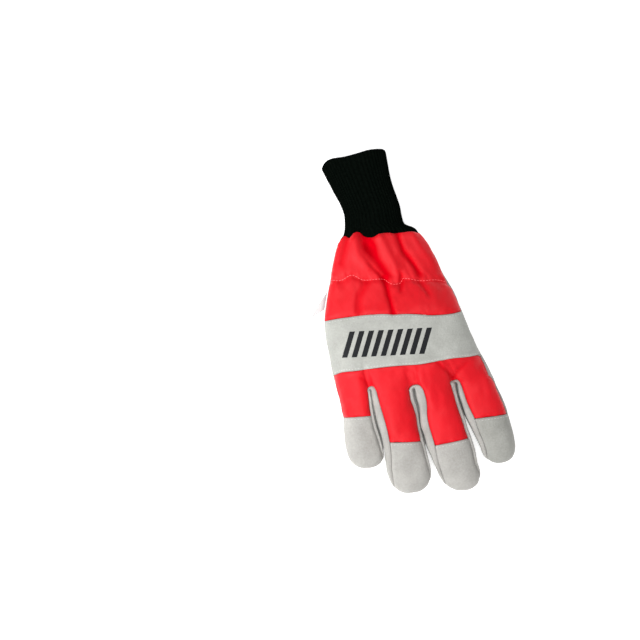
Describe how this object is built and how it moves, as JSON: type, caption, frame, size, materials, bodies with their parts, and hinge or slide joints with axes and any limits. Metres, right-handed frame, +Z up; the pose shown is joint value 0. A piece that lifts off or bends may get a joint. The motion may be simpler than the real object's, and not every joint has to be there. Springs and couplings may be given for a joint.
{
  "type": "chainsaw glove",
  "caption": "Right-hand chainsaw work glove in red woven fabric and grey leather with a black knit cuff, lying on its palm, open and hollow.",
  "frame": {"origin": "bottom centre of the bounding box, on the surface the glove lies on", "axes": "+Z up out of the back of the hand, +Y along the glove from the fingertips to the cuff mouth, +X towards the index finger side"},
  "size_m": [0.1528, 0.3052, 0.0383],
  "materials": {
    "leather": "grey split leather, napped, matte",
    "woven": "bright red woven fabric, soft sheen",
    "knit": "black rib knit, matte",
    "label": "blank white woven label, satin"
  },
  "bodies": {
    "root": {"cuff_knit": "knit", "wrist_panel": "woven", "knuckle_band": "leather", "back_panel": "woven", "tip_cap_little": "leather", "tip_cap_ring": "leather", "tip_cap_middle": "leather", "tip_cap_index": "leather", "fourchette_little_ring": "leather", "fourchette_ring_middle": "leather", "fourchette_middle_index": "leather", "palm": "leather", "thumb": "leather", "care_label": "label"}
  },
  "joints": []
}
